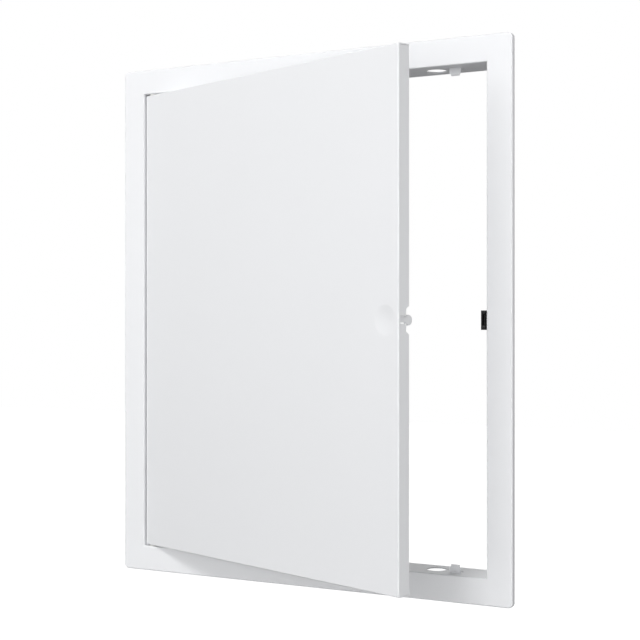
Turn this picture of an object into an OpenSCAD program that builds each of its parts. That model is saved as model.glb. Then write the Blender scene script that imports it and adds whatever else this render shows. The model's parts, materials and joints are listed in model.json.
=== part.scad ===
// Flush access panel: a pressed steel frame, a folded steel leaf hung on two pins, and a touch latch.
// X runs to the latch side, Y into the wall and Z up. The wall's face is the plane Y = 0, and the
// origin is the centre of the opening there. Depths are counted back from the flange's front face.

/* [Frame] */
// Width of the clear opening
open_w = 243; // [200:1:420]
// Height of the clear opening
open_h = 298; // [200:1:620]
// Width of the flange round the opening
flange_w = 16; // [14:0.5:30]
// Thickness of the frame's sheet
frame_sheet = 0.7; // [0.6:0.1:0.8]
// How far the flange's rim is turned back
rim_depth = 3.5; // [2.5:0.1:6]
// Outer radius of the bend between flange and rim
rim_bend_r = 1; // [0.9:0.1:2.2]
// Radius of the flange's corners
corner_r = 3; // [2.5:0.5:9]
// Depth of the collar, counted from the flange's front
collar_depth = 27; // [26.5:0.5:50]
// Outer radius of the bend between flange and collar
collar_bend_r = 0.9; // [0.9:0.1:1.6]

/* [Fixing holes and stops] */
// Diameter of the fixing holes in the collar
fix_d = 12; // [6:0.5:14]
// Distance of a fixing hole from the side of the opening
fix_in = 38; // [34:1:60]
// Depth of the fixing holes' centre
fix_depth = 14.8; // [13:0.1:18]
// Width of a stop tab
stop_w = 7.2; // [6:0.2:9]
// Length of a stop tab down to its lip
stop_len = 3.6; // [3:0.1:5]
// Width of the lip at the end of a stop tab
stop_lip_w = 5.4; // [4:0.2:5.6]
// Length of that lip
stop_lip_len = 1.1; // [0.8:0.1:1.5]
// Distance of a stop tab's centre from the latch side of the opening
stop_in = 23.6; // [20:0.2:27]
// Radius of a stop tab's corners
stop_round = 0.9; // [0.6:0.1:1.6]
// Space between the closed leaf and the stop tabs
stop_gap = 1.2; // [0.8:0.1:1.6]

/* [Leaf] */
// Thickness of the leaf's sheet
leaf_sheet = 0.7; // [0.6:0.1:0.8]
// Depth of the leaf over its returns
leaf_depth = 8; // [7.8:0.1:8.4]
// Outer radius of the leaf's bends
leaf_bend_r = 0.9; // [0.9:0.1:2]
// Gap between leaf and opening at each side
side_gap = 1.6; // [1.5:0.1:2.2]
// Gap between leaf and opening at top and bottom
end_gap = 0.9; // [0.9:0.1:1.8]
// Angle at which the leaf stands open
open_angle = 20; // [5:1:60]
// Size of the chamfer at the rear corners of the side returns
return_chamfer = 0.3; // [0.2:0.1:0.8]
// Gap between a side return and the end of the return above or below it
corner_gap = 0.2; // [0.1:0.05:0.4]

/* [Push dimple] */
// Diameter of the pressed dimple
dimple_d = 17; // [12:0.5:20]
// Depth of the dimple
dimple_depth = 0.6; // [0.3:0.05:0.8]
// Distance of the dimple's centre from the leaf's free edge
dimple_in = 10.5; // [10.2:0.1:16]

/* [Hinge] */
// Diameter of the hinge pins
pin_d = 3; // [2.6:0.1:3.4]
// Distance of the pins' axis from the leaf's hinge edge
pin_in = 4.3; // [4.1:0.1:6]
// Space between a pin's head or clip and the sheet beside it
head_space = 0.3; // [0.2:0.05:0.5]
// Thickness of a pin's head
head_t = 1; // [0.6:0.1:1.4]
// Radial clearance of the leaf on its pins
pin_clear = 0.06; // [0.02:0.01:0.1]
// Play between a hinge washer and the leaf
washer_play = 0.1; // [0.05:0.05:0.2]
// Diameter of the hinge washers
washer_d = 6.4; // [5.4:0.2:7.2]
// Thickness of the push-on clips
clip_t = 0.5; // [0.3:0.1:0.8]
// Play between a clip and the leaf's return
clip_play = 0.2; // [0.1:0.05:0.4]

/* [Strike] */
// Thickness of the strike
strike_t = 1.4; // [1:0.1:1.6]
// Height of the strike's foot behind the return
strike_foot_h = 16; // [12:0.5:24]
// Height of the strike's round head
strike_head_h = 5.8; // [5:0.1:6.2]
// Height of the strike's neck
strike_neck_h = 4.2; // [3.4:0.1:4.4]
// Depth of the strike's tip behind the leaf's front
strike_reach = 11.1; // [10.8:0.1:11.4]
// Height of the notch in the free return at its mouth
notch_mouth_h = 15.4; // [14.4:0.2:20]
// Height of the notch at its bottom
notch_h = 12.2; // [11.6:0.2:13.8]
// How deep the notch is cut into the return
notch_cut = 2.2; // [1.8:0.1:2.4]
// Height of the slot that shows the strike's foot
slot_h = 4.6; // [4.4:0.1:5.2]
// Depth at which that slot starts
slot_start = 1.7; // [1.6:0.1:2.2]

/* [Latch case] */
// Width of the latch case, from the jamb into the opening
case_w = 7.1; // [7.1:0.1:9]
// Height of the latch case
case_h = 11.4; // [11.2:0.1:12.4]
// Depth of the latch case's mouth
case_front = 9; // [8.8:0.1:9.3]
// Length of the latch case
case_len = 16.5; // [16.3:0.1:17.2]
// Wall of the latch case
case_wall = 0.8; // [0.7:0.05:0.9]
// Wall of the case at its rear
case_rear_wall = 1; // [0.8:0.1:1.1]
// Height of a mounting ear above or below the case
ear_h = 5; // [4.8:0.1:7]
// Width of a mounting ear
ear_w = 6; // [5:0.2:8]
// Thickness of a mounting ear
ear_t = 1.6; // [1.2:0.1:2]
// Diameter of the latch screws
screw_d = 2.2; // [1.8:0.1:2.6]
// Diameter of the latch screws' heads
screw_head_d = 4; // [3.4:0.1:4.4]
// Height of the latch screws' heads
screw_head_t = 1.4; // [1:0.1:1.8]
// How far the latch screws' tips pass the collar
screw_past = 1.3; // [0.8:0.1:2]

/* [Latch works] */
// Travel of the slider
travel = 2.2; // [1.6:0.1:2.3]
// Angle through which a jaw opens
jaw_angle = 6.5; // [6:0.1:7]
// Width of the jaws
jaw_w = 2.2; // [1.6:0.1:2.3]
// Thickness of a jaw's arm
jaw_arm_t = 1; // [0.8:0.05:1.1]
// Thickness of a jaw's hooked tip
jaw_tip_t = 1.2; // [0.9:0.1:1.3]
// Radius of a jaw's boss
jaw_boss_r = 1.2; // [1:0.05:1.2]
// Diameter of the jaw pins
jaw_pin_d = 1.2; // [1:0.05:1.3]
// Clearance of the slider inside the case
slide_clear = 0.15; // [0.1:0.05:0.2]
// Length of the posts at the rear of the case that take the cover's pegs
post_len = 3.1; // [2.8:0.1:3.3]
// Outer diameter of the latch spring
spring_d = 3.2; // [2.8:0.1:3.3]
// Diameter of the spring's wire
spring_wire = 0.44; // [0.3:0.02:0.5]
// Turns of the latch spring
spring_turns = 8; // [6:1:9]
// Diameter of the cam wire
cam_wire_d = 0.54; // [0.44:0.02:0.56]
// Length of the cam wire between its bent ends
cam_wire_len = 5.6; // [5.4:0.1:5.8]
// Bending radius of the cam wire's ends
cam_bend_r = 0.4; // [0.3:0.02:0.44]

/* [Hidden] */
$fn = 48;

paint = [0.93, 0.94, 0.95];
zinc = [0.72, 0.73, 0.75];
black = [0.09, 0.09, 0.10];
nylon = [0.90, 0.89, 0.85];
// How far a cut runs past what it cuts, and how far two drawn shapes of one piece run into each other
cut = 1;
lap = 0.3;

// Places shared by frame, leaf and hinge
front_y = -rim_depth;
half_w = open_w / 2;
half_h = open_h / 2;
outer_w = open_w + 2 * flange_w;
outer_h = open_h + 2 * flange_w;
leaf_w = open_w - 2 * side_gap;
leaf_h = open_h - 2 * end_gap;
pin_depth = leaf_depth / 2;
pin_x = -half_w + side_gap + pin_in;
pin_y = front_y + pin_depth;
pin_hole_r = pin_d / 2 + pin_clear;
head_r = pin_depth - frame_sheet - head_space;
clip_r = min(pin_depth, pin_in) - leaf_sheet - head_space;
fix_x = half_w - fix_in;
stop_x = half_w - stop_in;
stop_depth = leaf_depth + stop_gap;
stop_lip_round = 0.3;
dimple_skirt = 0.9;
pin_tail = 0.6;

// Places in the latch, on the jamb at X = half_w, with the slider out and its jaws open
head_clear = 0.2;
grip_clear = 0.1;
neck_clear = 0.15;
head_flat = 0.5;
return_inner_x = half_w - side_gap - leaf_sheet;
grip_depth = strike_reach - strike_head_h / 2 - head_flat;
tip_front = grip_depth - grip_clear - jaw_tip_t - travel;
floor_depth = strike_reach + head_clear;
jaw_inner = strike_head_h / 2 + head_clear;
jaw_outer = jaw_inner + jaw_arm_t;
jaw_hook = strike_neck_h / 2 + neck_clear;
jaw_lead_h = 0.9;
jaw_lead_d = 0.55;
foot_end = tip_front - head_clear;
jaw_right_x = return_inner_x - head_clear;
jaw_left_x = jaw_right_x - jaw_w;
case_in_h = case_h - 2 * case_wall;
case_left_x = half_w - case_w;
case_in_left_x = case_left_x + case_wall;
case_in_right_x = half_w - case_wall;
slider_left_x = case_in_left_x + slide_clear;
slider_right_x = case_in_right_x - slide_clear;
slider_half_h = case_in_h / 2 - slide_clear;
jaw_pin_z = slider_half_h - jaw_boss_r - slide_clear / 2;
jaw_pin_depth = floor_depth + 2 * jaw_boss_r;
core_half_h = jaw_pin_z - jaw_boss_r - slide_clear;
block_depth = jaw_pin_depth + jaw_boss_r + head_clear;
case_rear = case_front + case_len;
case_in_rear = case_rear - case_rear_wall;
post_depth = case_in_rear - post_len;
post_clear = 0.3;
slider_rear = post_depth - travel - post_clear;
jaw_side_clear = 0.1;
jaw_pin_clear = 0.05;
jaw_pin_inset = 0.05;
pocket_left_x = jaw_left_x - jaw_side_clear;
pocket_right_x = jaw_right_x + jaw_side_clear;
ear_depth = case_front + case_len / 2;
screw_z = case_h / 2 + ear_h / 2;
ear_round = 1.5;
screw_clear = 0.2;
recess_len = 2.2;
recess_w = 0.5;
recess_deep = 0.6;

// Spring and cam wire
spring_clear = 0.15;
bore_r = spring_d / 2 + spring_clear;
spring_x = slider_right_x - bore_r - spring_clear;
bore_wall = 0.9;
bore_floor = block_depth + bore_wall;
spring_seat = 0.02;
cam_r = cam_wire_d / 2;
cam_x = case_in_left_x + cam_r + slide_clear / 2;
cam_back = 0.8;
cam_depth = case_in_rear - cam_back;
cam_boss_h = 2.4;
cam_side_clear = 0.08;
cam_channel_x = cam_x + cam_r + cam_side_clear;
track_deep = 0.5;
cam_track_x = cam_channel_x + track_deep;
tip_clear = 0.05;
cam_tip_x = cam_track_x - tip_clear;
cam_boss_past = 0.3;
cam_boss_x = cam_tip_x + cam_boss_past;
cam_swing = 9.2;
cam_tip_depth = cam_depth - cam_wire_len;
cam_latched = cam_tip_depth - travel;
cam_low = -cam_wire_len * sin(cam_swing);
channel_clear = 0.1;
track_play = 0.25;
track_rise = 0.5;
island_w = 0.5;
island_up = 0.72;
island_fore = 0.1;
peg_d = 1.2;
peg_len = 2;
peg_clear = 0.2;
post_h = 1.9;

// Lays a flat outline drawn in X and Z as a plate, from one depth back through a thickness
module plate(depth, thickness) {
    translate([0, front_y + depth + thickness, 0])
        rotate([90, 0, 0])
            linear_extrude(thickness)
                children();
}

// Extrudes an outline drawn in depth (first) and height (second) along X
module along_x(x0, x1) {
    translate([x0, front_y, 0])
        rotate([90, 0, 90])
            linear_extrude(x1 - x0)
                children();
}

// A box between two corners given as X, depth and Z
module block(x0, x1, d0, d1, z0, z1) {
    translate([x0, front_y + d0, z0])
        cube([x1 - x0, d1 - d0, z1 - z0]);
}

// A rod along X at a depth and height
module rod_x(x0, x1, depth, z, r) {
    translate([x0, front_y + depth, z])
        rotate([0, 90, 0])
            cylinder(h = x1 - x0, r = r);
}

module rounded(w, h, r) {
    square([w - 2 * r, h], center = true);
    square([w, h - 2 * r], center = true);
    for (x = [-1, 1], y = [-1, 1])
        translate([x * (w / 2 - r), y * (h / 2 - r)])
            circle(r);
}

// A tongue along Y from its root at the origin: straight at the root and rounded at its end
module tongue(w, length, r) {
    intersection() {
        rounded(w, 2 * length, r);
        translate([-w / 2, 0])
            square([w, length]);
    }
}

// Section of a sheet bent through a right angle round the origin, with a straight lap at each end
module bend_section(r, sheet, end_lap) {
    intersection() {
        difference() {
            circle(r);
            circle(r - sheet);
        }
        square(r);
    }
    translate([-end_lap, r - sheet])
        square([end_lap, sheet]);
    translate([r - sheet, -end_lap])
        square([sheet, end_lap]);
}

// Both ends of the object carry the same thing: once at the top, once mirrored below
module top_and_bottom() {
    children();
    mirror([0, 0, 1])
        children();
}

module left_and_right() {
    children();
    mirror([1, 0, 0])
        children();
}

// Section of the turned-back rim: X is 0 at the outer face, Y is the depth
module rim_section() {
    translate([-rim_bend_r, rim_bend_r])
        mirror([0, 1])
            bend_section(rim_bend_r, frame_sheet, lap);
    translate([-frame_sheet, rim_bend_r])
        square([frame_sheet, rim_depth - rim_bend_r]);
}

// Section of the bend from flange to collar: X is 0 at the opening, Y is the depth
module collar_bend_section() {
    translate([collar_bend_r, collar_bend_r])
        rotate(180)
            bend_section(collar_bend_r, frame_sheet, lap);
}

module rim() {
    left_and_right()
        translate([outer_w / 2, front_y, 0])
            linear_extrude(outer_h - 2 * corner_r, center = true)
                rim_section();
    top_and_bottom()
        translate([0, front_y, outer_h / 2])
            rotate([0, -90, 0])
                linear_extrude(outer_w - 2 * corner_r, center = true)
                    rim_section();
    left_and_right()
        top_and_bottom()
            translate([outer_w / 2 - corner_r, front_y, corner_r - outer_h / 2])
                rotate([-90, 0, 0])
                    rotate_extrude(angle = 90)
                        translate([corner_r, 0])
                            rim_section();
}

module flange_plate() {
    plate(0, frame_sheet)
        difference() {
            rounded(outer_w - 2 * rim_bend_r, outer_h - 2 * rim_bend_r, corner_r - rim_bend_r);
            square([open_w + 2 * collar_bend_r, open_h + 2 * collar_bend_r], center = true);
        }
}

module collar() {
    left_and_right()
        translate([half_w, front_y, 0])
            linear_extrude(open_h + 2 * collar_bend_r, center = true)
                collar_bend_section();
    top_and_bottom()
        translate([0, front_y, half_h])
            rotate([0, -90, 0])
                linear_extrude(open_w + 2 * collar_bend_r, center = true)
                    collar_bend_section();
    plate(collar_bend_r, collar_depth - collar_bend_r)
        difference() {
            square([open_w + 2 * frame_sheet, open_h + 2 * frame_sheet], center = true);
            square([open_w, open_h], center = true);
        }
}

// A stop tab, pressed out of the collar and bent into the opening. Its window stays behind it.
module stop_tab() {
    plate(stop_depth, frame_sheet)
        translate([stop_x, half_h + frame_sheet / 2])
            mirror([0, 1]) {
                tongue(stop_w, stop_len + frame_sheet / 2, stop_round);
                tongue(stop_lip_w, stop_len + stop_lip_len + frame_sheet / 2, stop_lip_round);
            }
}

module stop_window() {
    block(stop_x - stop_w / 2, stop_x + stop_w / 2, stop_depth + frame_sheet,
          stop_depth + frame_sheet + stop_len + stop_lip_len, half_h - cut, half_h + frame_sheet + cut);
}

module frame() {
    color(paint)
        difference() {
            union() {
                flange_plate();
                rim();
                collar();
                top_and_bottom()
                    stop_tab();
            }
            top_and_bottom()
                stop_window();
            left_and_right()
                top_and_bottom()
                    translate([fix_x, front_y + fix_depth, half_h - cut])
                        cylinder(h = frame_sheet + 2 * cut, d = fix_d);
            top_and_bottom()
                translate([pin_x, pin_y, half_h - cut])
                    cylinder(h = frame_sheet + 2 * cut, d = pin_d);
            top_and_bottom()
                rod_x(half_w - cut, half_w + frame_sheet + cut, ear_depth, screw_z, screw_d / 2);
        }
}

// Puts something drawn on the closed leaf where the open leaf stands
module on_open_leaf() {
    translate([pin_x, pin_y, 0])
        rotate([0, 0, -open_angle])
            translate([-pin_x, -pin_y, 0])
                children();
}

// A block with its two long front edges rounded: width, depth and front radius
module fold_section(w, depth, r) {
    translate([r - w / 2, 0])
        square([w - 2 * r, depth]);
    translate([-w / 2, r])
        square([w, depth - r]);
    for (side = [-1, 1])
        translate([side * (w / 2 - r), r])
            circle(r);
}

// The space inside a folded pan: rounded along all four front edges
module pan_block(w, h, depth, r) {
    intersection() {
        linear_extrude(h, center = true)
            fold_section(w, depth, r);
        rotate([0, -90, 0])
            linear_extrude(w, center = true)
                fold_section(h, depth, r);
    }
}

module leaf_pan() {
    translate([0, front_y, 0])
        difference() {
            pan_block(leaf_w, leaf_h, leaf_depth, leaf_bend_r);
            translate([0, leaf_sheet, 0])
                pan_block(leaf_w - 2 * leaf_sheet, leaf_h - 2 * leaf_sheet, leaf_depth, leaf_bend_r - leaf_sheet);
        }
}

// The dimple is a shallow ball dish, and shows as a dome on the leaf's back
module dimple_dome(extra) {
    r = (dimple_d * dimple_d / 4 + dimple_depth * dimple_depth) / (2 * dimple_depth);
    intersection() {
        translate([leaf_w / 2 - dimple_in, front_y + dimple_depth - r, 0])
            sphere(r + extra, $fn = 96);
        translate([leaf_w / 2 - dimple_in, front_y - cut, 0])
            rotate([-90, 0, 0])
                cylinder(h = extra + dimple_depth + 2 * cut, r = dimple_d / 2 + dimple_skirt);
    }
}

// Outline of the notch and slot in the free return, as depth and height
module notch_outline() {
    polygon([[leaf_depth + cut, notch_mouth_h / 2 + cut / 2], [leaf_depth, notch_mouth_h / 2],
             [leaf_depth - notch_cut, notch_h / 2], [leaf_depth - notch_cut, -notch_h / 2],
             [leaf_depth, -notch_mouth_h / 2], [leaf_depth + cut, -notch_mouth_h / 2 - cut / 2]]);
    translate([slot_start, -slot_h / 2])
        square([leaf_depth - slot_start, slot_h]);
}

module leaf_cuts() {
    along_x(leaf_w / 2 - leaf_sheet - cut, leaf_w / 2 + cut)
        notch_outline();
    left_and_right()
        top_and_bottom()
            along_x(leaf_w / 2 - leaf_sheet, leaf_w / 2 + cut)
                translate([leaf_depth, leaf_h / 2])
                    rotate(45)
                        square([return_chamfer * sqrt(2), 2 * return_chamfer], center = true);
    left_and_right()
        top_and_bottom()
            block(leaf_w / 2 - leaf_sheet, leaf_w / 2 + cut, leaf_bend_r + leaf_sheet,
                  leaf_depth + cut, leaf_h / 2 - leaf_sheet - corner_gap, leaf_h / 2 - leaf_sheet);
}

module leaf() {
    color(paint)
        on_open_leaf()
            difference() {
                union() {
                    leaf_pan();
                    intersection() {
                        dimple_dome(leaf_sheet);
                        translate([0, front_y + leaf_sheet, 0])
                            pan_block(leaf_w - 2 * leaf_sheet, leaf_h, leaf_depth, leaf_bend_r - leaf_sheet);
                    }
                }
                dimple_dome(0);
                leaf_cuts();
                top_and_bottom()
                    translate([pin_x, pin_y, leaf_h / 2 - leaf_sheet - cut])
                        cylinder(h = leaf_sheet + 2 * cut, r = pin_hole_r);
            }
}

// The strike's foot is welded behind the free return, clear of the open jaws, and its round head is
// what the jaws hold
module strike_outline() {
    translate([slot_start, -strike_foot_h / 2])
        square([foot_end - slot_start, strike_foot_h]);
    translate([slot_start, -strike_neck_h / 2])
        square([grip_depth + lap - slot_start, strike_neck_h]);
    intersection() {
        translate([strike_reach - strike_head_h / 2, 0])
            circle(strike_head_h / 2);
        translate([grip_depth, -strike_head_h / 2])
            square(strike_head_h);
    }
}

module strike() {
    color(paint)
        on_open_leaf()
            along_x(return_inner_x - strike_t, return_inner_x)
                strike_outline();
}

// A pin stands through collar, washer and return, with its head outside the collar
module hinge_pin() {
    inner_z = half_h - end_gap - leaf_sheet - clip_play - clip_t - pin_tail;
    color(zinc)
        translate([pin_x, pin_y, 0]) {
            translate([0, 0, inner_z])
                cylinder(h = half_h + frame_sheet - inner_z, d = pin_d);
            translate([0, 0, half_h + frame_sheet])
                cylinder(h = head_t, r = head_r);
        }
}

module ring(z, height, outer_d, bore_d) {
    translate([pin_x, pin_y, z])
        difference() {
            cylinder(h = height, d = outer_d);
            translate([0, 0, -cut])
                cylinder(h = height + 2 * cut, d = bore_d);
        }
}

module hinge_washer() {
    color(nylon)
        ring(half_h - end_gap + washer_play, end_gap - washer_play, washer_d, 2 * pin_hole_r);
}

module hinge_clip() {
    color(zinc)
        ring(half_h - end_gap - leaf_sheet - clip_play - clip_t, clip_t, 2 * clip_r, pin_d);
}

// The latch case is open at its mouth and on the side that the cover closes
module latch_housing() {
    color(black)
        difference() {
            union() {
                difference() {
                    block(case_in_left_x, half_w, case_front, case_rear, -case_h / 2, case_h / 2);
                    block(case_in_left_x - cut, case_in_right_x, case_front - cut, case_in_rear,
                          -case_in_h / 2, case_in_h / 2);
                }
                top_and_bottom()
                    block(case_in_left_x, case_in_right_x + lap, post_depth, case_in_rear + lap,
                          case_in_h / 2 - post_h, case_in_h / 2 + lap);
                block(cam_channel_x, cam_boss_x, cam_depth - cam_back, case_in_rear + lap,
                      -cam_boss_h / 2, cam_boss_h / 2);
                top_and_bottom()
                    mounting_ear();
            }
            top_and_bottom()
                rod_x(case_in_left_x - cut, case_in_left_x + peg_len + peg_clear, post_depth + peg_d,
                      case_in_h / 2 - post_h / 2, peg_d / 2);
            rod_x(cam_channel_x - cut, cam_boss_x + cut, cam_depth, 0, cam_r + jaw_pin_clear);
            top_and_bottom()
                rod_x(half_w - ear_t - cut, half_w + cut, ear_depth, screw_z, screw_d / 2 + screw_clear);
        }
}

module mounting_ear() {
    along_x(half_w - ear_t, half_w)
        translate([ear_depth, case_h / 2 - case_wall / 2])
            tongue(ear_w, ear_h + case_wall / 2, ear_round);
}

module latch_cover() {
    color(black) {
        block(case_left_x, case_in_left_x, case_front, case_rear, -case_h / 2, case_h / 2);
        top_and_bottom()
            rod_x(case_in_left_x - lap, case_in_left_x + peg_len, post_depth + peg_d,
                  case_in_h / 2 - post_h / 2, peg_d / 2);
    }
}

// Track for the cam wire's tip: a rounded pocket round a small heart-shaped island
module cam_track() {
    margin = cam_r + track_play;
    difference() {
        translate([(cam_latched + cam_tip_depth) / 2, (cam_low + 2 * track_rise) / 2])
            rounded(travel + 2 * margin, 2 * margin - cam_low + 2 * track_rise, margin);
        translate([(cam_latched + cam_tip_depth) / 2 - island_fore, island_up])
            rotate(135) {
                square(island_w, center = true);
                translate([0, island_w / 2])
                    circle(island_w / 2);
                translate([island_w / 2, 0])
                    circle(island_w / 2);
            }
    }
}

module latch_slider() {
    color(black)
        difference() {
            block(slider_left_x, slider_right_x, floor_depth, slider_rear, -slider_half_h, slider_half_h);
            top_and_bottom()
                block(pocket_left_x, pocket_right_x, floor_depth - cut, block_depth,
                      core_half_h, slider_half_h + cut);
            top_and_bottom()
                rod_x(slider_left_x - cut, slider_right_x + cut, jaw_pin_depth, jaw_pin_z, jaw_pin_d / 2);
            translate([spring_x, front_y + bore_floor, 0])
                rotate([-90, 0, 0])
                    cylinder(h = slider_rear - bore_floor + cut, r = bore_r);
            block(slider_left_x - cut, cam_channel_x, cam_latched, slider_rear + cut,
                  cam_low - cam_r - 2 * channel_clear, cam_r + channel_clear);
            along_x(slider_left_x - cut, cam_track_x)
                cam_track();
        }
}

// Side view of a closed jaw, as depth and height: boss, arm and hooked tip with its lead-in
module jaw_outline() {
    difference() {
        union() {
            translate([jaw_pin_depth, jaw_pin_z])
                circle(jaw_boss_r);
            polygon([[jaw_pin_depth, jaw_outer], [tip_front, jaw_outer],
                     [tip_front, jaw_hook + jaw_lead_h], [tip_front + jaw_lead_d, jaw_hook],
                     [tip_front + jaw_tip_t, jaw_hook], [tip_front + jaw_tip_t, jaw_inner],
                     [jaw_pin_depth, jaw_inner]]);
        }
        translate([jaw_pin_depth, jaw_pin_z])
            circle(jaw_pin_d / 2 + jaw_pin_clear);
    }
}

module latch_jaw() {
    color(black)
        translate([0, front_y + jaw_pin_depth, jaw_pin_z])
            rotate([-jaw_angle, 0, 0])
                translate([0, -front_y - jaw_pin_depth, -jaw_pin_z])
                    along_x(jaw_left_x, jaw_right_x)
                        jaw_outline();
}

module jaw_pin() {
    color(zinc)
        rod_x(slider_left_x + jaw_pin_inset, slider_right_x - jaw_pin_inset,
              jaw_pin_depth, jaw_pin_z, jaw_pin_d / 2);
}

// The latch spring: one round wire swept along a helix, with its ends drawn flat against their seats
module latch_spring() {
    steps = 14;
    sides = 6;
    rings = spring_turns * steps;
    wire_r = spring_wire / 2;
    helix_r = spring_d / 2 - wire_r;
    start = bore_floor + wire_r + spring_seat;
    length = case_in_rear - wire_r - spring_seat - start;
    closed = 1.06 * spring_wire;
    pitch = (length - 2 * closed) / (spring_turns - 2);
    function lift(u) = u < 1 ? closed * u
        : u > spring_turns - 1 ? length - closed * (spring_turns - u) : closed + pitch * (u - 1);
    points = [for (i = [0:rings], j = [0:sides - 1])
        let (u = i / steps, a = 360 * j / sides, r = helix_r + wire_r * cos(a))
            [spring_x + r * cos(360 * u), front_y + start + lift(u) + wire_r * sin(a), r * sin(360 * u)]];
    walls = [for (i = [0:rings - 1], j = [0:sides - 1])
        let (k = (j + 1) % sides)
            [i * sides + j, (i + 1) * sides + j, (i + 1) * sides + k, i * sides + k]];
    ends = [[for (j = [0:sides - 1]) j], [for (j = [sides - 1:-1:0]) rings * sides + j]];
    color(zinc)
        polyhedron(points, concat(walls, ends), convexity = 10);
}

// The cam wire turns in the case's rear boss, and its bent tip rides in the slider's track
module cam_wire() {
    color(zinc)
        translate([0, front_y + cam_depth, 0])
            rotate([cam_swing, 0, 0])
                translate([cam_x, 0, 0]) {
                    translate([0, -cam_bend_r, 0])
                        rotate([90, 0, 0])
                            cylinder(h = cam_wire_len - 2 * cam_bend_r, r = cam_r);
                    translate([cam_bend_r, 0, 0])
                        rotate([0, 90, 0])
                            cylinder(h = cam_boss_x - cam_x - cam_bend_r, r = cam_r);
                    translate([cam_bend_r, -cam_wire_len, 0])
                        rotate([0, 90, 0])
                            cylinder(h = cam_tip_x - cam_x - cam_bend_r, r = cam_r);
                    wire_bend(-cam_bend_r, 90);
                    wire_bend(cam_bend_r - cam_wire_len, 180);
                }
}

// A quarter turn of the cam wire, with its centre at a place along the wire and its start at an angle
module wire_bend(centre, start_angle) {
    translate([cam_bend_r, centre, 0])
        rotate([0, 0, start_angle])
            rotate_extrude(angle = 90)
                translate([cam_bend_r, 0])
                    circle(cam_r);
}

module latch_screw() {
    color(zinc)
        difference() {
            union() {
                rod_x(half_w - ear_t, half_w + frame_sheet + screw_past, ear_depth, screw_z, screw_d / 2);
                rod_x(half_w - ear_t - screw_head_t, half_w - ear_t, ear_depth, screw_z, screw_head_d / 2);
            }
            for (turn = [0, 90])
                translate([half_w - ear_t - screw_head_t, front_y + ear_depth, screw_z])
                    rotate([turn, 0, 0])
                        cube([2 * recess_deep, recess_len, recess_w], center = true);
        }
}

module lower() {
    mirror([0, 0, 1])
        children();
}

frame();
leaf();
strike();
hinge_pin();  // hinge_pin_upper
lower() hinge_pin();  // hinge_pin_lower
hinge_washer();  // hinge_washer_upper
lower() hinge_washer();  // hinge_washer_lower
hinge_clip();  // hinge_clip_upper
lower() hinge_clip();  // hinge_clip_lower
latch_housing();
latch_cover();
latch_slider();
latch_jaw();  // latch_jaw_upper
lower() latch_jaw();  // latch_jaw_lower
jaw_pin();  // jaw_pin_upper
lower() jaw_pin();  // jaw_pin_lower
latch_spring();
cam_wire();
latch_screw();  // latch_screw_upper
lower() latch_screw();  // latch_screw_lower
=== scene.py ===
"""Finish, small parts and light for a flush steel access panel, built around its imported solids.

The panel is a pressed steel frame with a folded leaf, which hangs on two pins and is held shut by
a touch latch. Lengths are in metres in the frame of the solids: X runs to the latch side, Y into
the wall and Z up, with the origin at the centre of the opening in the plane of the wall's face.
"""

import json
import logging
import math
from collections.abc import Callable, Sequence
from dataclasses import dataclass, field
from enum import Enum

import bmesh
import bpy
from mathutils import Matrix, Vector


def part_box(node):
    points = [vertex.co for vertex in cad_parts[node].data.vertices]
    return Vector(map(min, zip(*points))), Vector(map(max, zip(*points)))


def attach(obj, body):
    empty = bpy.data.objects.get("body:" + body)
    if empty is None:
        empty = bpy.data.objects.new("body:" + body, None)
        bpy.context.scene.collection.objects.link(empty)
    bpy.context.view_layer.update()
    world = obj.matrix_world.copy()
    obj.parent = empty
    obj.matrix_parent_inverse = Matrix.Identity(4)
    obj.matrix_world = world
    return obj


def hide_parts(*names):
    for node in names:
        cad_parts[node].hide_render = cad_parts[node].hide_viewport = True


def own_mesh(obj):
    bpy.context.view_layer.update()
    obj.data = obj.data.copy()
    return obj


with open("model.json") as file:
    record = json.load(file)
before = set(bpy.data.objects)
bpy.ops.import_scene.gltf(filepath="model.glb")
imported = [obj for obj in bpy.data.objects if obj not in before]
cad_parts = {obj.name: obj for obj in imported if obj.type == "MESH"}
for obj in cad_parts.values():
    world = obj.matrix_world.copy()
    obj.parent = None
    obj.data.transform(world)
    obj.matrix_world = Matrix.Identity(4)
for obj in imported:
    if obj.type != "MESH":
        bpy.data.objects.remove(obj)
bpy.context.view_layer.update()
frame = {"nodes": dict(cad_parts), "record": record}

Point = tuple[float, float, float]

MM = 0.001
# Points closer than this count as one
TOUCH = 0.001 * MM
# Least cosine between an axis and the normal of a face that looks along it
FACING = 0.999
# How far a cutting tool stands out of what it cuts
REACH = 1.0 * MM
# X and Y of the line that the leaf swings about
HINGE_AXIS = (-115.6 * MM, 0.5 * MM)

log = logging.getLogger("access_panel")


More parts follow.
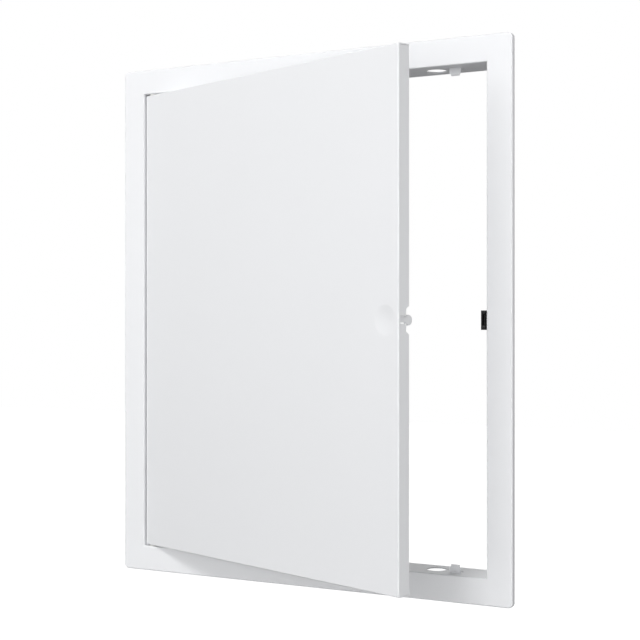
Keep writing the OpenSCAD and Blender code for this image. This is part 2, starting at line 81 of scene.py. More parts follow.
class ShaderNet:
    """A material or node group in the making, with short calls for adding and joining nodes."""

    def __init__(self, tree: bpy.types.NodeTree) -> None:
        """Take a node tree and empty it."""
        self.tree = tree
        self.tree.nodes.clear()

    def add(self, kind: str, **settings: object) -> bpy.types.Node:
        """Add one node.

        Args:
            kind: The node's type, without its ShaderNode prefix.
            settings: Values of the node's own properties.

        Returns:
            The new node.
        """
        prefix = "" if kind.startswith("Node") else "ShaderNode"
        node = self.tree.nodes.new(prefix + kind)
        for key, value in settings.items():
            setattr(node, key, value)
        return node

    def join(self, source: bpy.types.NodeSocket, target: bpy.types.NodeSocket) -> None:
        """Link an output to an input."""
        self.tree.links.new(source, target)

    def maths(self, operation: str, *terms: object) -> bpy.types.NodeSocket:
        """Add a Math node.

        Args:
            operation: The node's operation.
            terms: Its inputs in order, each a number or an output socket.

        Returns:
            The node's output.
        """
        node = self.add("Math", operation=operation)
        for slot, term in zip(node.inputs, terms):
            if isinstance(term, (int, float)):
                slot.default_value = term
            else:
                self.join(term, slot)
        return node.outputs[0]


def new_group(name: str, inputs: dict[str, float], outputs: Sequence[str]) -> ShaderNet:
    """Make an empty shader node group with named sockets.

    Args:
        name: The group's name.
        inputs: Each input's name and first value.
        outputs: Each output's name.

    Returns:
        The net to fill.
    """
    tree = bpy.data.node_groups.new(name, "ShaderNodeTree")
    for label, value in inputs.items():
        socket = tree.interface.new_socket(label, in_out="INPUT", socket_type="NodeSocketFloat")
        socket.default_value = value
    for label in outputs:
        tree.interface.new_socket(label, in_out="OUTPUT", socket_type="NodeSocketFloat")
    return ShaderNet(tree)


def grain_group() -> None:
    """Build the fine surface relief of every finish: a height in metres and a 0 to 1 mask."""
    net = new_group("surface_grain", {"Scale": 900.0, "Depth": 0.00001, "Detail": 3.0},
                    ("Height", "Mask"))
    start = net.add("NodeGroupInput")
    end = net.add("NodeGroupOutput")
    place = net.add("TexCoord")
    noise = net.add("TexNoise")
    net.join(place.outputs["Object"], noise.inputs["Vector"])
    net.join(start.outputs["Scale"], noise.inputs["Scale"])
    net.join(start.outputs["Detail"], noise.inputs["Detail"])
    height = net.maths("MULTIPLY", noise.outputs["Fac"], start.outputs["Depth"])
    net.join(height, end.inputs["Height"])
    net.join(noise.outputs["Fac"], end.inputs["Mask"])


def drift_group() -> None:
    """Build the slow change of tone of a sprayed or moulded surface: a factor round 1."""
    net = new_group("tone_drift", {"Scale": 14.0, "Spread": 0.02, "Detail": 2.0}, ("Factor",))
    start = net.add("NodeGroupInput")
    end = net.add("NodeGroupOutput")
    place = net.add("TexCoord")
    noise = net.add("TexNoise")
    net.join(place.outputs["Object"], noise.inputs["Vector"])
    net.join(start.outputs["Scale"], noise.inputs["Scale"])
    net.join(start.outputs["Detail"], noise.inputs["Detail"])
    centred = net.maths("SUBTRACT", noise.outputs["Fac"], 0.5)
    spread = net.maths("MULTIPLY", centred, start.outputs["Spread"])
    net.join(net.maths("ADD", spread, 1.0), end.inputs["Factor"])


@dataclass(frozen=True)
class Finish:
    """A surface finish: one Principled shader with relief, tone drift and a varying roughness."""

    name: str
    color: tuple[float, float, float]
    roughness: float
    metallic: float = 0.0
    specular: float = 0.5
    grain_scale: float = 900.0
    grain_depth: float = 0.00001
    grain_rough: float = 0.04
    drift_scale: float = 14.0
    drift_spread: float = 0.02

    def build(self) -> bpy.types.Material:
        """Build the material.

        Returns:
            The node-based material.
        """
        material = bpy.data.materials.new(self.name)
        material.use_nodes = True
        net = ShaderNet(material.node_tree)
        out = net.add("OutputMaterial")
        shader = net.add("BsdfPrincipled")
        net.join(shader.outputs["BSDF"], out.inputs["Surface"])
        shader.inputs["Metallic"].default_value = self.metallic
        shader.inputs["Specular IOR Level"].default_value = self.specular
        grain = net.add("Group", node_tree=bpy.data.node_groups["surface_grain"])
        grain.inputs["Scale"].default_value = self.grain_scale
        grain.inputs["Depth"].default_value = self.grain_depth
        drift = net.add("Group", node_tree=bpy.data.node_groups["tone_drift"])
        drift.inputs["Scale"].default_value = self.drift_scale
        drift.inputs["Spread"].default_value = self.drift_spread
        tint = net.add("VectorMath", operation="SCALE")
        tint.inputs[0].default_value = self.color
        net.join(drift.outputs["Factor"], tint.inputs["Scale"])
        net.join(tint.outputs["Vector"], shader.inputs["Base Color"])
        spread = net.maths("MULTIPLY", grain.outputs["Mask"], self.grain_rough)
        rough = net.maths("ADD", spread, self.roughness - self.grain_rough / 2)
        net.join(rough, shader.inputs["Roughness"])
        bump = net.add("Bump")
        bump.inputs["Distance"].default_value = 1.0
        net.join(grain.outputs["Height"], bump.inputs["Height"])
        net.join(bump.outputs["Normal"], shader.inputs["Normal"])
        return material


# The finish of each material slot
FINISHES = {
    "paint": Finish("powder_coat_white", (0.857, 0.865, 0.880), 0.38, specular=0.4,
                    grain_scale=700.0, grain_depth=0.000004, drift_spread=0.006),
    "zinc": Finish("zinc_plate", (0.68, 0.69, 0.71), 0.34, metallic=1.0,
                   grain_scale=2200.0, grain_depth=0.000004, grain_rough=0.12, drift_spread=0.12),
    "nylon": Finish("natural_nylon", (0.74, 0.735, 0.71), 0.5,
                    grain_scale=1500.0, grain_depth=0.000005, drift_spread=0.03),
    "black_plastic": Finish("moulded_black", (0.016, 0.016, 0.017), 0.42, specular=0.3,
                            grain_scale=2600.0, grain_depth=0.000008, grain_rough=0.1,
                            drift_spread=0.1),
}


class Pick(Enum):
    """What an edit-mode selection holds; the value names its list in the mesh."""

    VERT = "verts"
    EDGE = "edges"
    FACE = "faces"


class Side(Enum):
    """The two ends that carry the same hardware; the value is the sign of Z."""

    UPPER = 1
    LOWER = -1

    @property
    def word(self) -> str:
        """The side's name as it stands at the end of a node's name."""
        return self.name.lower()


class Work:
    """One piece on the bench: begun from a primitive, shaped in edit mode and handed over."""

    def __init__(self, name: str) -> None:
        """Start with nothing selected and nothing modelled.

        Args:
            name: The piece's name.
        """
        bpy.ops.object.select_all(action="DESELECT")
        self.name = name
        self.obj: bpy.types.Object | None = None

    def select(self) -> None:
        """Select this piece alone and make it the active one."""
        bpy.ops.object.select_all(action="DESELECT")
        self.obj.select_set(True)
        bpy.context.view_layer.objects.active = self.obj

    def adopt(self) -> None:
        """Take the object that was just made, with its place applied to its mesh."""
        self.obj = bpy.context.object
        self.obj.name = self.name
        bpy.ops.object.transform_apply(location=True, rotation=True, scale=True)

    def block(self, low: Point, high: Point) -> None:
        """Start from a cube stretched between two corners.

        Args:
            low: The lowest corner.
            high: The highest corner.
        """
        middle = (Vector(low) + Vector(high)) / 2
        bpy.ops.mesh.primitive_cube_add(size=1.0, location=middle, scale=Vector(high) - Vector(low))
        self.adopt()

    def copy_mesh(self, source: bpy.types.Object) -> None:
        """Start from a copy of an object's mesh.

        Args:
            source: The object that is copied.
        """
        self.obj = bpy.data.objects.new(self.name, source.data.copy())
        bpy.context.scene.collection.objects.link(self.obj)
        self.select()

    def copy_solid(self, solid: bpy.types.Object, flat_deg: float = 0.2) -> None:
        """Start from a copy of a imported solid, merged into one clean mesh.

        Args:
            solid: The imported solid's object.
            flat_deg: Angle between faces up to which they become one.
        """
        self.copy_mesh(solid)
        if self.obj.data.has_custom_normals:
            bpy.ops.mesh.customdata_custom_splitnormals_clear()
        self.edit()
        bpy.ops.mesh.select_all(action="SELECT")
        bpy.ops.mesh.remove_doubles(threshold=TOUCH)
        bpy.ops.mesh.dissolve_limited(angle_limit=math.radians(flat_deg))
        self.leave()

    def edit(self) -> None:
        """Go into edit mode."""
        bpy.ops.object.mode_set(mode="EDIT")

    def leave(self) -> None:
        """Go back to object mode."""
        bpy.ops.object.mode_set(mode="OBJECT")

    def pick(self, kind: Pick, test: Callable[[Vector, Vector], bool]) -> None:
        """Select what passes a test on its middle and its normal.

        Args:
            kind: Whether vertices, edges or faces are selected.
            test: Gets the middle and the normal of each, and says whether it is selected.
        """
        bpy.ops.mesh.select_mode(type=kind.name)
        bpy.ops.mesh.select_all(action="DESELECT")
        mesh = bmesh.from_edit_mesh(self.obj.data)
        for item in getattr(mesh, kind.value):
            if kind is Pick.VERT:
                middle, normal = item.co, item.normal
            elif kind is Pick.EDGE:
                middle = (item.verts[0].co + item.verts[1].co) / 2
                normal = (item.verts[0].normal + item.verts[1].normal) / 2
            else:
                middle, normal = item.calc_center_median(), item.normal
            if test(middle, normal):
                item.select_set(True)
        bmesh.update_edit_mesh(self.obj.data)

    def pull(self, step: Point, scale: Point, centre: Point) -> None:
        """Extrude what is selected, then scale the new end about a centre.

        Args:
            step: How far the new end moves.
            scale: The new end's scale along each axis.
            centre: The point that the scale leaves in place.
        """
        bpy.ops.mesh.extrude_region_move(TRANSFORM_OT_translate={"value": step})
        bpy.ops.transform.resize(value=scale, center_override=centre)

    def turned(self, profile: Sequence[tuple[float, float]], sides: int = 48,
               ring: bool = False) -> None:
        """Start from a circle and carry it along a profile about Z.

        Args:
            profile: Radius and height of each step.
            sides: Number of corners of the circle.
            ring: Whether its ends meet or stay open, in place of being closed by faces.
        """
        radius, height = profile[0]
        bpy.ops.mesh.primitive_circle_add(vertices=sides, radius=radius,
                                          location=(0.0, 0.0, height))
        self.adopt()
        self.edit()
        bpy.ops.mesh.select_mode(type=Pick.EDGE.name)
        bpy.ops.mesh.select_all(action="SELECT")
        for next_radius, next_height in profile[1:]:
            scale = next_radius / radius
            self.pull((0.0, 0.0, next_height - height), (scale, scale, 1.0),
                      (0.0, 0.0, next_height))
            radius, height = next_radius, next_height
        if ring:
            bpy.ops.mesh.select_all(action="SELECT")
            bpy.ops.mesh.remove_doubles(threshold=TOUCH)
        else:
            bpy.ops.mesh.edge_face_add()
            start = profile[0][1]
            self.pick(Pick.EDGE, lambda middle, _: abs(middle.z - start) < TOUCH)
            bpy.ops.mesh.edge_face_add()
        self.outward()
        self.leave()

    def outward(self) -> None:
        """Turn all faces outwards, in edit mode."""
        bpy.ops.mesh.select_all(action="SELECT")
        bpy.ops.mesh.normals_make_consistent(inside=False)

    def coiled(self, wire: float, coil: float, stretches: Sequence[tuple[int, float]], sides: int,
               start: float, steps: int = 24) -> None:
        """Wind a wire round Z in stretches of whole turns, with closed ends.

        Args:
            wire: Radius of the wire.
            coil: Radius of the wire's centre line.
            stretches: Number of turns and rise per turn of each stretch.
            sides: Number of corners of the wire.
            start: Height at which the centre line starts.
            steps: Number of steps in a turn.
        """
        height = start
        for turns, rise in stretches:
            part = Work("winding")
            bpy.ops.mesh.primitive_circle_add(vertices=sides, radius=wire,
                                              location=(coil, 0.0, height),
                                              rotation=(math.pi / 2, 0.0, 0.0))
            part.adopt()
            part.modify("SCREW", axis="Z", angle=2 * math.pi, screw_offset=rise,
                        iterations=turns, steps=steps, render_steps=steps)
            if self.obj is None:
                self.obj = part.obj
                self.obj.name = self.name
            else:
                self.join(part)
            height += turns * rise
        self.edit()
        bpy.ops.mesh.select_all(action="SELECT")
        bpy.ops.mesh.remove_doubles(threshold=TOUCH)
        for end in (start, height):
            self.pick(Pick.EDGE, lambda middle, _: abs(middle.y) < TOUCH and middle.x > 0
                      and math.hypot(middle.x - coil, middle.z - end) < wire)
            bpy.ops.mesh.edge_face_add()
        self.outward()
        self.leave()

    def join(self, other: "Work") -> None:
        """Join another piece of work into this one.

        Args:
            other: The piece that is taken in.
        """
        self.select()
        other.obj.select_set(True)
        bpy.ops.object.join()

    def modify(self, kind: str, **settings: object) -> None:
        """Add one modifier and apply it.

        Args:
            kind: The modifier's type.
            settings: Values of its properties.
        """
        modifier = self.obj.modifiers.new(kind.lower(), kind)
        for key, value in settings.items():
            setattr(modifier, key, value)
        bpy.context.view_layer.objects.active = self.obj
        bpy.ops.object.modifier_apply(modifier=modifier.name)

    def cut(self, tool: "Work") -> None:
        """Cut another piece of work, a closed shape, out of this one and drop it."""
        self.modify("BOOLEAN", operation="DIFFERENCE", solver="EXACT", object=tool.obj)
        bpy.data.objects.remove(tool.obj)

    def ease(self, width: float, segments: int = 2, angle_deg: float = 40.0) -> None:
        """Round every edge sharper than an angle.

        Args:
            width: Width of the rounding.
            segments: Number of faces across it.
            angle_deg: Angle between faces from which an edge counts as sharp.
        """
        self.modify("BEVEL", width=width, segments=segments, limit_method="ANGLE",
                    angle_limit=math.radians(angle_deg), use_clamp_overlap=True,
                    miter_outer="MITER_SHARP")

    def place(self, spot: Point, turn: Point = (0.0, 0.0, 0.0)) -> None:
        """Turn the piece about the origin, move it, and apply both to its mesh.

        Args:
            spot: Where the piece's origin goes.
            turn: Its rotation about X, Y and Z in degrees.
        """
        self.obj.location = spot
        self.obj.rotation_euler = tuple(math.radians(angle) for angle in turn)
        self.select()
        bpy.ops.object.transform_apply(location=True, rotation=True, scale=True)

    def copy_below(self, name: str) -> "Work":
        """Copy the piece with its own mesh and mirror it in the plane Z = 0.

        Args:
            name: The copy's name.

        Returns:
            The mirrored copy.
        """
        twin = Work(name)
        twin.copy_mesh(self.obj)
        twin.obj.scale = (1.0, 1.0, -1.0)
        bpy.ops.object.transform_apply(location=True, rotation=True, scale=True)
        twin.edit()
        twin.outward()
        twin.leave()
        return twin

    def hand_over(self, body: str, slot: str, nodes: Sequence[str],
                  smooth_deg: float = 35.0) -> bpy.types.Object:
        """Smooth, dress and mount the finished piece.

        Args:
            body: The body that it rides on.
            slot: The material slot that gives its finish.
            nodes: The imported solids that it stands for.
            smooth_deg: Angle between faces from which an edge stays sharp.

        Returns:
            The finished piece.
        """
        self.select()
        bpy.ops.object.shade_smooth_by_angle(angle=math.radians(smooth_deg))
        self.modify("WEIGHTED_NORMAL", mode="FACE_AREA", weight=100, keep_sharp=True)
        self.obj.data.materials.clear()
        self.obj.data.materials.append(bpy.data.materials[FINISHES[slot].name])
        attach(self.obj, body)
        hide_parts(*nodes)
        log.info("%s: %d faces, rides on %s, stands for %s", self.name,
                 len(self.obj.data.polygons), body, ", ".join(nodes))
        return self.obj


@dataclass
class EasedSolid:
    """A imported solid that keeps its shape, with the edge radii of pressing or moulding."""

    node: str
    name: str
    body: str
    slot: str
    edge: float

    def build(self) -> None:
        """Copy the solid, ease its edges and hand it over."""
        work = Work(self.name)
        work.copy_solid(frame["nodes"][self.node])
        work.ease(self.edge)
        work.hand_over(self.body, self.slot, [self.node])


@dataclass
class LeafPan:
    """The folded leaf: a pan with four returns, a push dimple, a notch and a tongue slot."""

    width: float = 239.8 * MM
    height: float = 296.2 * MM
    depth: float = 8.0 * MM
    front: float = -3.5 * MM
    sheet: float = 0.7 * MM
    bend: float = 0.75 * MM
    bend_faces: int = 8
    hinge: tuple[float, float] = HINGE_AXIS
    open_deg: float = 20.0
    hole_radius: float = 1.56 * MM
    hole_sides: int = 32
    hole_reach: float = 2.0 * MM
    dimple_in: float = 10.5 * MM
    dimple_radius: float = 8.7 * MM
    dimple_depth: float = 0.75 * MM
    dimple_rings: int = 16
    dimple_sides: int = 64
    dimple_shoulder: float = 1.35
    notch_mouth: float = 15.4 * MM
    notch_bottom: float = 12.2 * MM
    notch_cut: float = 2.2 * MM
    slot_start: float = 1.7 * MM
    slot_outer: float = 4.9 * MM
    slot_inner: float = 4.3 * MM
    slot_reach: float = 0.4 * MM
    slot_lap: float = 0.5 * MM
    seam: float = 0.2 * MM
    seam_start: float = 1.6 * MM

    def fold(self, work: Work) -> None:
        """Model the outer skin of the pan with its rounded front edges.

        Args:
            work: The empty piece of work.
        """
        half_w, half_h = self.width / 2, self.height / 2
        work.block((-half_w, self.front, -half_h), (half_w, self.front + self.depth, half_h))
        work.edit()
        work.pick(Pick.FACE, lambda _, normal: normal.y > FACING)
        bpy.ops.mesh.delete(type="FACE")
        work.pick(Pick.EDGE, lambda middle, _: abs(middle.y - self.front) < TOUCH)
        bpy.ops.mesh.bevel(offset=self.bend, segments=self.bend_faces, profile=0.5, affect="EDGES")
        work.leave()

    def press_dimple(self, work: Work) -> None:
        """Sink the round push dimple into the front, ring by ring, with a soft shoulder.

        Args:
            work: The folded skin.
        """
        centre = Vector((self.width / 2 - self.dimple_in, self.front, 0.0))
        work.edit()
        work.pick(Pick.FACE, lambda _, normal: normal.y < -FACING)
        bpy.ops.mesh.delete(type="ONLY_FACE")
        bpy.ops.mesh.primitive_circle_add(vertices=self.dimple_sides, radius=self.dimple_radius,
                                          location=centre, rotation=(math.pi / 2, 0.0, 0.0))
        work.pick(Pick.EDGE, lambda middle, _: abs(middle.y - self.front) < TOUCH)
        bpy.ops.mesh.bridge_edge_loops()
        rim_play = 0.1 * MM
        work.pick(Pick.EDGE, lambda middle, _:
                  abs((middle - centre).length - self.dimple_radius) < rim_play)
        radius, sunk = self.dimple_radius, 0.0
        for ring in range(1, self.dimple_rings + 1):
            share = 1.0 - ring / (self.dimple_rings + 1)
            next_radius = share * self.dimple_radius
            next_sunk = self.dimple_depth * (1.0 - share ** 2) ** self.dimple_shoulder
            scale = next_radius / radius
            work.pull((0.0, next_sunk - sunk, 0.0), (scale, 1.0, scale), centre)
            radius, sunk = next_radius, next_sunk
        bpy.ops.mesh.edge_face_add()
        work.outward()
        work.leave()

    def cut_notch(self, work: Work) -> None:
        """Cut the notch and the tapered slot into the free return.

        Args:
            work: The pan with its thickness.
        """
        outer_x, rear = self.width / 2, self.front + self.depth
        bottom = rear - self.notch_cut
        slope = (self.notch_mouth - self.notch_bottom) / self.notch_cut
        notch = Work("notch_tool")
        notch.block((outer_x - self.sheet - REACH, bottom, -self.notch_bottom / 2),
                    (outer_x + REACH, rear + REACH, self.notch_bottom / 2))
        notch.edit()
        notch.pick(Pick.FACE, lambda _, normal: normal.y > FACING)
        grown = (self.notch_mouth + slope * REACH) / self.notch_bottom
        bpy.ops.transform.resize(value=(1.0, 1.0, grown), center_override=(outer_x, rear, 0.0))
        notch.leave()
        work.cut(notch)
        slot = Work("slot_tool")
        taper = (self.slot_outer - self.slot_inner) / self.sheet
        inner_h = self.slot_inner - taper * self.slot_reach
        outer_h = self.slot_outer + taper * self.slot_reach
        slot.block((outer_x - self.sheet - self.slot_reach, self.front + self.slot_start,
                    -inner_h / 2),
                   (outer_x + self.slot_reach, bottom + self.slot_lap, inner_h / 2))
        slot.edit()
        slot.pick(Pick.FACE, lambda _, normal: normal.x > FACING)
        bpy.ops.transform.resize(value=(1.0, 1.0, outer_h / inner_h),
                                 center_override=(outer_x, 0.0, 0.0))
        slot.leave()
        work.cut(slot)

    def cut_corners(self, work: Work) -> None:
        """Cut the seams between the returns and the holes for the hinge pins.

        Args:
            work: The pan with its thickness.
        """
        outer_x, rear = self.width / 2, self.front + self.depth
        seam_z = self.height / 2 - self.sheet
        for side in Side:
            for hand in (-1, 1):
                xs = sorted((hand * (outer_x - self.sheet), hand * (outer_x + REACH)))
                zs = sorted((side.value * (seam_z - self.seam), side.value * seam_z))
                seam = Work("seam_tool")
                seam.block((xs[0], self.front + self.seam_start, zs[0]),
                           (xs[1], rear + REACH, zs[1]))
                work.cut(seam)
            hole = Work("hole_tool")
            hole.turned([(self.hole_radius, -self.hole_reach),
                         (self.hole_radius, self.hole_reach)], sides=self.hole_sides)
            hole.place((*self.hinge, side.value * seam_z))
            work.cut(hole)

    def swing_open(self, work: Work) -> None:
        """Swing what was modelled on the closed leaf to where the open leaf stands."""
        work.place((-self.hinge[0], -self.hinge[1], 0.0))
        work.place((*self.hinge, 0.0), (0.0, 0.0, -self.open_deg))

    def build(self) -> None:
        """Model the leaf closed, swing it open about its hinge and hand it over."""
        work = Work("leaf_pan")
        self.fold(work)
        self.press_dimple(work)
        work.modify("SOLIDIFY", thickness=self.sheet, offset=-1.0, use_even_offset=True)
        self.cut_notch(work)
        self.cut_corners(work)
        self.swing_open(work)
        work.hand_over("leaf", "paint", ["leaf"])


@dataclass
class Hinge:
    """Pin, washer and push-on clip at the leaf's upper corner, with mirrored copies below.

    The dome gives the pin's head: a share of its radius and of its height at each step.
    """

    axis: tuple[float, float] = HINGE_AXIS
    pin_radius: float = 1.5 * MM
    pin_tail: float = 146.1 * MM
    pin_chamfer: float = 0.3 * MM
    head_radius: float = 3.0 * MM
    head_low: float = 149.7 * MM
    head_high: float = 150.7 * MM
    dome: tuple[tuple[float, float], ...] = ((1.0, 0.3), (0.96, 0.52), (0.85, 0.74), (0.66, 0.9))
    dome_top: float = 0.36
    washer_radius: float = 3.2 * MM
    washer_bore: float = 1.56 * MM
    washer_low: float = 148.2 * MM
    washer_high: float = 149.0 * MM
    washer_chamfer: float = 0.14 * MM
    clip_radius: float = 3.0 * MM
    clip_low: float = 146.7 * MM
    clip_high: float = 147.2 * MM
    clip_sheet: float = 0.22 * MM
    clip_flat: float = 0.76
    clip_play: float = 0.01 * MM
    teeth: int = 6
    tooth_steps: int = 10
    slot_steps: float = 1.2

    def pin(self) -> Work:
        """Turn the pin with a chamfered tail and a low domed head.

        Returns:
            The upper pin.
        """
        work = Work("hinge_rivet_upper")
        rise = self.head_high - self.head_low
        steps = [(wide * self.head_radius, self.head_low + high * rise)
                 for wide, high in self.dome]
        work.turned([(self.pin_radius - self.pin_chamfer, self.pin_tail),
                     (self.pin_radius, self.pin_tail + self.pin_chamfer),
                     (self.pin_radius, self.head_low), (self.head_radius, self.head_low), *steps,
                     (self.dome_top * self.head_radius, self.head_high)])
        return work

    def washer(self) -> Work:
        """Turn the flat washer with small chamfers.

        Returns:
            The upper washer.
        """
        work = Work("hinge_spacer_upper")
        chamfer = self.washer_chamfer
        outer, bore = self.washer_radius, self.washer_bore
        low, high = self.washer_low, self.washer_high
        work.turned([(bore + chamfer, low), (outer - chamfer, low), (outer, low + chamfer),
                     (outer, high - chamfer), (outer - chamfer, high), (bore + chamfer, high),
                     (bore, high - chamfer), (bore, low + chamfer), (bore + chamfer, low)],
                    ring=True)
        return work

    def clip(self) -> Work:
        """Press the push-on clip: a flat ring whose inner teeth rise towards the pin.

        Returns:
            The upper clip.
        """
        work = Work("hinge_clip_star_upper")
        sides = self.teeth * self.tooth_steps
        low = self.clip_low + self.clip_sheet
        flat = self.clip_flat * self.clip_radius
        work.turned([(self.clip_radius, low), (flat, low)], sides=sides, ring=True)
        work.edit()
        tooth = 2 * math.pi / self.teeth
        half_slot = self.slot_steps * math.pi / sides

        def on_tooth(middle: Vector, _: Vector) -> bool:
            """Tell an inner edge on a tooth from one in the slot between two teeth.

            Args:
                middle: The edge's middle.

            Returns:
                Whether the edge is on a tooth.
            """
            turn = math.atan2(middle.y, middle.x) % tooth
            inner = middle.xy.length < flat + self.clip_play
            return inner and half_slot < turn < tooth - half_slot

        work.pick(Pick.EDGE, on_tooth)
        scale = (self.pin_radius + self.clip_play) / flat
        work.pull((0.0, 0.0, self.clip_high - low - 2 * self.clip_play), (scale, scale, 1.0),
                  (0.0, 0.0, self.clip_high))
        work.leave()
        work.modify("SOLIDIFY", thickness=self.clip_sheet, offset=0.0)
        return work

    def build(self) -> None:
        """Model each part once at the top, place it, and mirror a copy below."""
        parts = ((self.pin(), "zinc", "hinge_pin"), (self.washer(), "nylon", "hinge_washer"),
                 (self.clip(), "zinc", "hinge_clip"))
        for work, slot, node in parts:
            work.place((*self.axis, 0.0))
            lower = work.copy_below(work.name.replace(Side.UPPER.word, Side.LOWER.word))
            work.hand_over("frame", slot, [f"{node}_{Side.UPPER.word}"])
            lower.hand_over("frame", slot, [f"{node}_{Side.LOWER.word}"])


@dataclass
class Strike:
    """The round-headed tongue behind the free return, with eased edges and two spot welds.

    A slit under the neck lets it spring, and a groove over it clears the jaws' hooks. The weld
    profile gives a share of the mark's radius and of its depth at each step.
    """

    edge: float = 0.16 * MM
    weld_radius: float = 1.1 * MM
    weld_deep: float = 0.12 * MM
    weld_profile: tuple[tuple[float, float], ...] = ((0.5, 1.0), (0.9, 0.7))
    weld_sides: int = 24
    weld_reach: float = 0.5 * MM
    weld_z: float = 5.4 * MM
    weld_y: float = -0.6 * MM
    inner_x: float = 117.8 * MM
    sheet: float = 1.4 * MM
    neck_start: float = -1.6 * MM
    neck_end: float = 2.6 * MM
    slit: tuple[float, float] = (-1.85 * MM, -1.2 * MM)
    groove: tuple[float, float] = (1.65 * MM, 2.2 * MM)
    groove_deep: float = 1.0 * MM
    cut_reach: float = 0.3 * MM

    def cut_neck(self, work: Work, leaf: LeafPan) -> None:
        """Cut the slit and the groove along the neck.

        Args:
            work: The tongue on the open leaf.
            leaf: The leaf that carries it.
        """
        outer_x = self.inner_x + self.sheet
        for (low, high), deep in ((self.slit, 2 * self.sheet), (self.groove, self.groove_deep)):
            tool = Work("neck_tool")
            tool.block((outer_x - deep, self.neck_start, low),
                       (outer_x + self.cut_reach, self.neck_end, high))
            leaf.swing_open(tool)
            work.cut(tool)

    def build(self, leaf: LeafPan) -> None:
        """Ease a copy of the solid, press the weld marks, cut the neck and hand it over.

        Args:
            leaf: The leaf that carries it.
        """
        work = Work("strike_tongue")
        work.copy_solid(frame["nodes"]["strike"])
        work.ease(self.edge, segments=3)
        steps = [(wide * self.weld_radius, deep * self.weld_deep)
                 for wide, deep in self.weld_profile]
        for side in Side:
            mark = Work("weld_tool")
            mark.turned([*steps, (self.weld_radius, -self.weld_reach)], sides=self.weld_sides)
            mark.place((self.inner_x, self.weld_y, side.value * self.weld_z), (0.0, 90.0, 0.0))
            leaf.swing_open(mark)
            work.cut(mark)
        self.cut_neck(work, leaf)
        work.hand_over("leaf", "paint", ["strike"])


@dataclass
class LatchScrews:
    """The two thread-forming screws that hold the latch case to the collar.

    The head profile gives a share of its radius and of its height at each step, from its top.
    """

    seat_x: float = 119.9 * MM
    y: float = 13.75 * MM
    z: float = 8.2 * MM
    head_radius: float = 2.0 * MM
    head_high: float = 1.4 * MM
    head_profile: tuple[tuple[float, float], ...] = (
        (0.55, -1.0), (0.82, -0.9), (0.96, -0.66), (1.0, -0.36), (1.0, -0.06), (0.95, 0.0))
    core_radius: float = 0.84 * MM
    crest_radius: float = 1.1 * MM
    length: float = 3.6 * MM
    shank: float = 0.8
    point: float = 0.3
    pitch: float = 0.62 * MM
    turns: int = 4
    thread_root: float = 0.9
    thread_sides: int = 4
    thread_start: float = 0.25 * MM
    recess_long: float = 2.2 * MM
    recess_wide: float = 0.5 * MM
    recess_deep: float = 0.7 * MM
    recess_taper: float = 0.6

    def build(self) -> None:
        """Model the upper screw and mirror a copy below."""
        work = Work("latch_fixing_upper")
        head = [(wide * self.head_radius, high * self.head_high)
                for wide, high in self.head_profile]
        work.turned([*head, (self.core_radius, 0.0), (self.core_radius, self.shank * self.length),
                     (self.point * self.core_radius, self.length)])
        bars = ((self.recess_wide, self.recess_long), (self.recess_long, self.recess_wide))
        for wide, long in bars:
            bar = Work("recess_tool")
            bar.block((-long / 2, -wide / 2, -2 * self.head_high),
                      (long / 2, wide / 2, self.recess_deep - self.head_high))
            bar.edit()
            bar.pick(Pick.FACE, lambda _, normal: normal.z > FACING)
            bpy.ops.transform.resize(value=(self.recess_taper, self.recess_taper, 1.0),
                                     center_override=(0.0, 0.0, 0.0))
            bar.leave()
            work.cut(bar)
        ridge = Work("thread_ridge")
        half_deep = 0.5 * (self.crest_radius - self.thread_root * self.core_radius)
        ridge.coiled(half_deep, self.crest_radius - half_deep, [(self.turns, self.pitch)],
                     sides=self.thread_sides, start=self.thread_start)
        work.join(ridge)
        work.place((self.seat_x, self.y, self.z), (0.0, 90.0, 0.0))
        lower = work.copy_below("latch_fixing_lower")
        work.hand_over("frame", "zinc", ["latch_screw_upper"])
        lower.hand_over("frame", "zinc", ["latch_screw_lower"])


@dataclass
class LatchCase:
    """The moulded case on the jamb and the lid that closes its open side."""

    edge: float = 0.3 * MM
    lid_border: float = 1.3 * MM
    lid_sunk: float = 0.15 * MM
    lid_play: float = 0.01 * MM

    def build(self) -> None:
        """Ease the case, and give the lid its sunk panel."""
        EasedSolid("latch_housing", "latch_case", "frame", "black_plastic", self.edge).build()
        lid = Work("latch_lid")
        lid.copy_solid(frame["nodes"]["latch_cover"])
        lid.ease(self.edge)
        lid.edit()
        outer_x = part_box("latch_cover")[0].x
        lid.pick(Pick.FACE, lambda middle, normal:
                 normal.x < -FACING and abs(middle.x - outer_x) < self.lid_play)
        bpy.ops.mesh.inset(thickness=self.lid_border)
        bpy.ops.mesh.inset(thickness=2 * self.lid_sunk, depth=-self.lid_sunk)
        lid.leave()
        lid.hand_over("frame", "black_plastic", ["latch_cover"])


